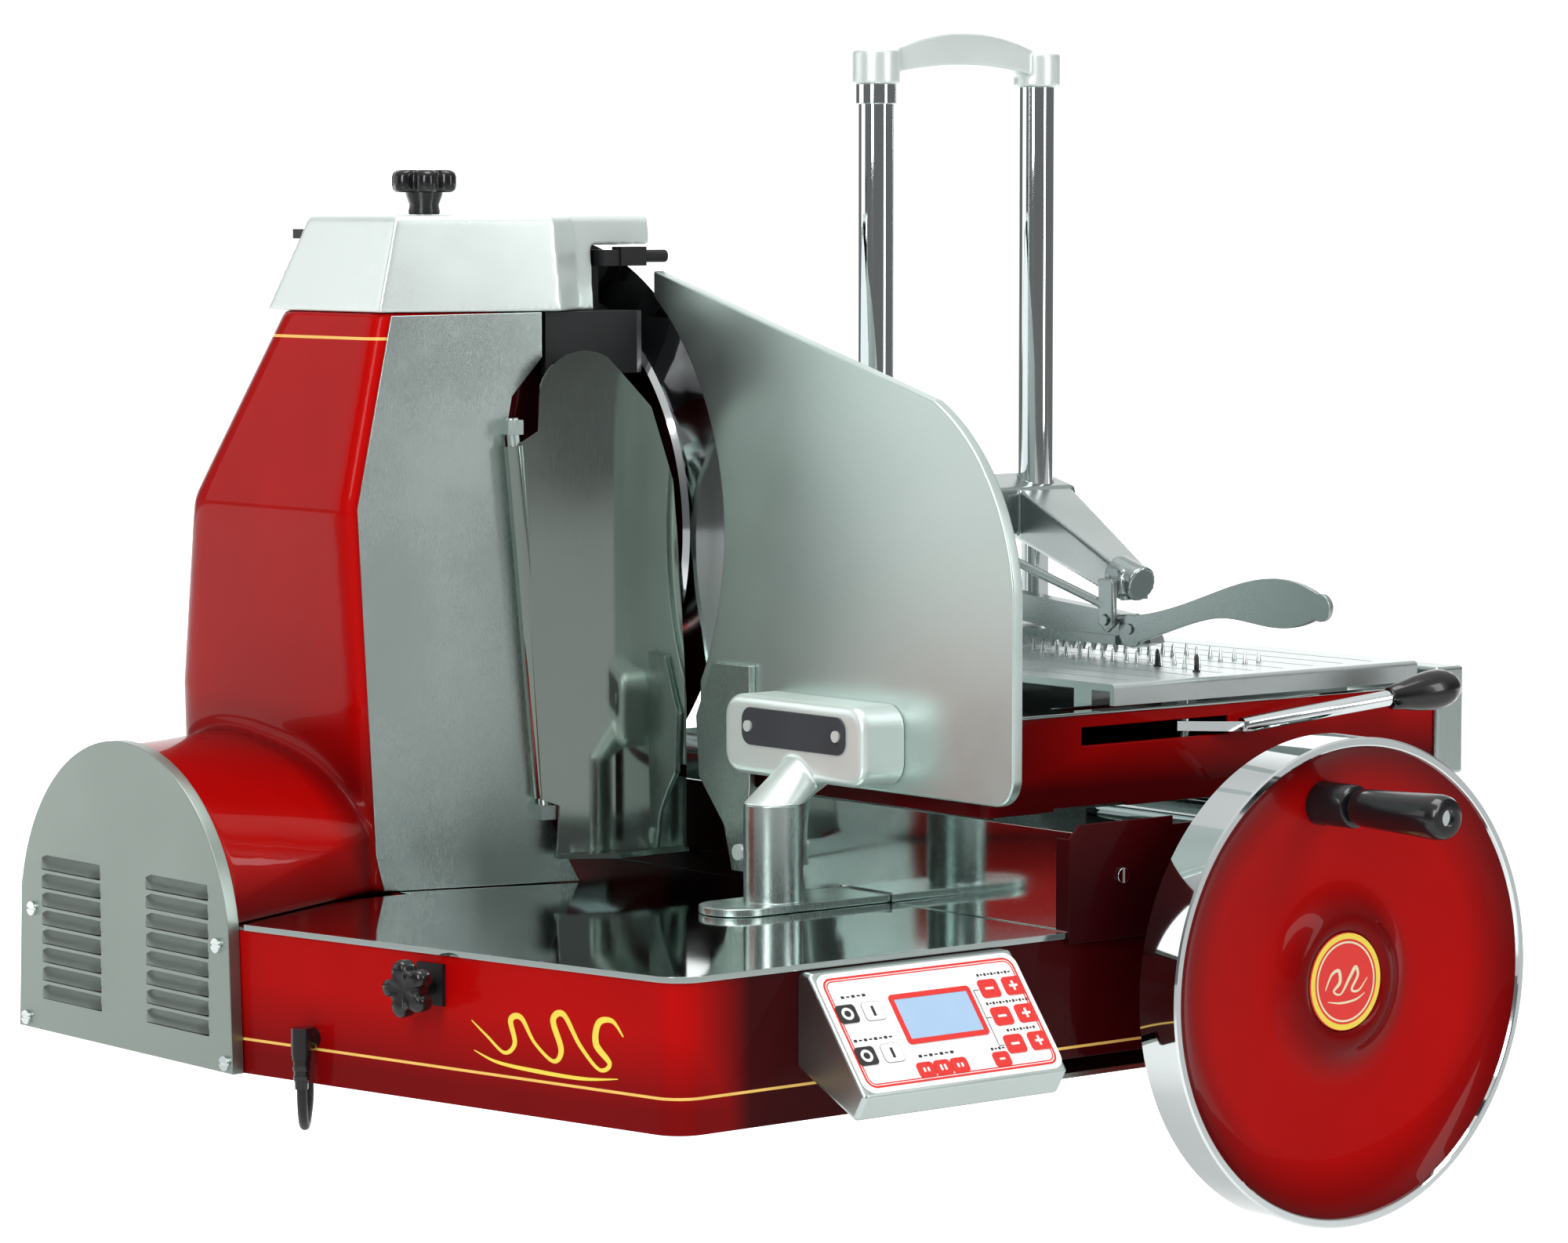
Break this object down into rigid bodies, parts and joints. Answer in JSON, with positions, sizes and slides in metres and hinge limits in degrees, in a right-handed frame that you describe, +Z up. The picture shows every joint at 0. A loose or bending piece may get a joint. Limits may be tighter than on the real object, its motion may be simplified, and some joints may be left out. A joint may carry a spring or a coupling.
{
  "type": "deli meat slicer",
  "caption": "Flywheel deli slicer with a round blade, gauge plate, sliding meat carriage with a clamp on posts, hand flywheel and keypad.",
  "frame": {"origin": "middle of the four stand bolts, on the underside of the base", "axes": "+X to the operator's right along the blade's axis, +Y away from the operator along the carriage's travel, +Z up"},
  "size_m": [0.771, 0.846, 0.7187],
  "materials": {
    "red_paint": "gloss",
    "polished_steel": "polished",
    "brushed_steel": "brushed",
    "cast_aluminium": "satin",
    "chrome": "mirror",
    "black_plastic": "gloss",
    "black_casting": "satin black",
    "pulley_metal": "machined",
    "grey_paint": "satin",
    "membrane": "printed",
    "badge": "gloss",
    "belt_rubber": "matte",
    "cord_rubber": "satin"
  },
  "bodies": {
    "machine": {"base_shell": "red_paint", "base_plate": "brushed_steel", "deck_tray": "polished_steel", "case_screws": "brushed_steel", "tower_housing": "red_paint", "tower_front_plate": "brushed_steel", "louvre_plate": "brushed_steel", "head_cover": "cast_aluminium", "motor_body": "black_casting", "belts": "belt_rubber", "bearings": "chrome", "blade_shroud": "cast_aluminium", "sharpener_body": "black_casting", "deflector_rod": "polished_steel", "knob_bracket": "brushed_steel", "way_box": "polished_steel", "way_front_cover": "polished_steel", "carriage_rails": "chrome", "gearmotor_body": "black_casting", "keypad_box": "grey_paint", "keypad_face": "membrane", "gland": "black_plastic", "cord_tube": "cord_rubber", "cord_coil": "cord_rubber", "plug": "black_plastic"},
    "head_knob": {"head_knob": "black_plastic"},
    "blade": {"blade": "chrome", "blade_spindle": "chrome", "blade_pulley": "pulley_metal"},
    "motor_rotor": {"motor_pulley": "pulley_metal"},
    "sharpener": {"sharpener_rod": "black_casting"},
    "deflector": {"deflector": "polished_steel"},
    "gauge": {"gauge_plate": "cast_aluminium", "blade_guard_segment": "cast_aluminium", "gauge_post": "cast_aluminium", "gauge_bracket": "cast_aluminium", "gauge_label": "black_plastic", "gauge_screws": "brushed_steel"},
    "gauge_knob": {"gauge_knob": "black_plastic"},
    "carriage": {"carriage_body": "red_paint", "carriage_top": "polished_steel", "carriage_end_plate": "cast_aluminium", "carriage_bearings": "pulley_metal"},
    "feed_screw": {"feed_screw": "chrome"},
    "table": {"meat_table": "polished_steel", "table_spikes": "brushed_steel", "clamp_posts": "chrome", "bow_handle": "cast_aluminium"},
    "clamp": {"clamp_casting": "cast_aluminium"},
    "presser": {"toothed_beam": "cast_aluminium"},
    "paddle": {"paddle_lever": "cast_aluminium"},
    "feed_lever": {"feed_lever": "chrome", "feed_knob": "black_plastic"},
    "flywheel": {"flywheel_disc": "red_paint", "flywheel_rim": "chrome", "hub_badge": "badge", "flywheel_shaft": "chrome", "crank_pin": "black_plastic"},
    "grip": {"crank_grip": "black_plastic"},
    "gearmotor_rotor": {"gearmotor_pulley": "pulley_metal"}
  },
  "joints": [
    {"name": "head_knob_turn", "type": "hinge", "parent": "machine", "child": "head_knob", "pos_m": [-0.1, 0.13, 0.517], "axis": [0, 0, 1], "continuous": true},
    {"name": "blade_spin", "type": "hinge", "parent": "machine", "child": "blade", "pos_m": [0.036, 0.18, 0.304], "axis": [1, 0, 0], "continuous": true},
    {"name": "motor_spin", "type": "hinge", "parent": "machine", "child": "motor_rotor", "pos_m": [-0.19, 0.1295, 0.07], "axis": [1, 0, 0], "continuous": true},
    {"name": "sharpener_push", "type": "slide", "parent": "machine", "child": "sharpener", "axis": [1, 0, 0], "range_m": [0, 0.0025]},
    {"name": "deflector_swing", "type": "hinge", "parent": "machine", "child": "deflector", "pos_m": [-0.06737, 0.04996, 0.139], "axis": [-0.0832, 0.023, 0.9963], "range_deg": [-95, 0]},
    {"name": "gauge_slide", "type": "slide", "parent": "machine", "child": "gauge", "axis": [1, 0, 0], "range_m": [-0.014, 0]},
    {"name": "gauge_knob_turn", "type": "hinge", "parent": "machine", "child": "gauge_knob", "pos_m": [-0.30032, -0.14246, 0.067], "axis": [-0.98, -0.1989, 0], "range_deg": [0, 280]},
    {"name": "carriage_slide", "type": "slide", "parent": "machine", "child": "carriage", "axis": [0, 1, 0], "range_m": [0, 0.28]},
    {"name": "feed_screw_spin", "type": "hinge", "parent": "carriage", "child": "feed_screw", "pos_m": [0.15, -0.2, 0.172], "axis": [1, 0, 0], "continuous": true},
    {"name": "table_feed", "type": "slide", "parent": "carriage", "child": "table", "axis": [-1, 0, 0], "range_m": [0, 0.09]},
    {"name": "clamp_height", "type": "slide", "parent": "table", "child": "clamp", "axis": [0, 0, 1], "range_m": [0, 0.24]},
    {"name": "presser_tilt", "type": "hinge", "parent": "clamp", "child": "presser", "pos_m": [0.27, -0.121, 0.247], "axis": [1, 0, 0], "range_deg": [0, 4]},
    {"name": "paddle_lift", "type": "hinge", "parent": "presser", "child": "paddle", "pos_m": [0.27, -0.1375, 0.242], "axis": [-1, 0, 0], "range_deg": [0, 70]},
    {"name": "feed_lever_swing", "type": "hinge", "parent": "table", "child": "feed_lever", "pos_m": [0.214, -0.23, 0.191], "axis": [0, 0, -1], "range_deg": [0, 20]},
    {"name": "flywheel_spin", "type": "hinge", "parent": "machine", "child": "flywheel", "pos_m": [0.212, -0.365, 0.0488], "axis": [0, 1, 0], "continuous": true},
    {"name": "grip_spin", "type": "hinge", "parent": "flywheel", "child": "grip", "pos_m": [0.194, -0.435, 0.157], "axis": [0, 1, 0], "continuous": true},
    {"name": "gearmotor_spin", "type": "hinge", "parent": "machine", "child": "gearmotor_rotor", "pos_m": [0.08, -0.22, 0.0488], "axis": [0, 1, 0], "continuous": true}
  ],
  "couplings": [
    {"joint": "motor_spin", "follows": "blade_spin", "ratio": 1.9242},
    {"joint": "gauge_knob_turn", "follows": "gauge_slide", "rad_per_m": -349.07},
    {"joint": "gearmotor_spin", "follows": "flywheel_spin", "ratio": 1.8299}
  ]
}
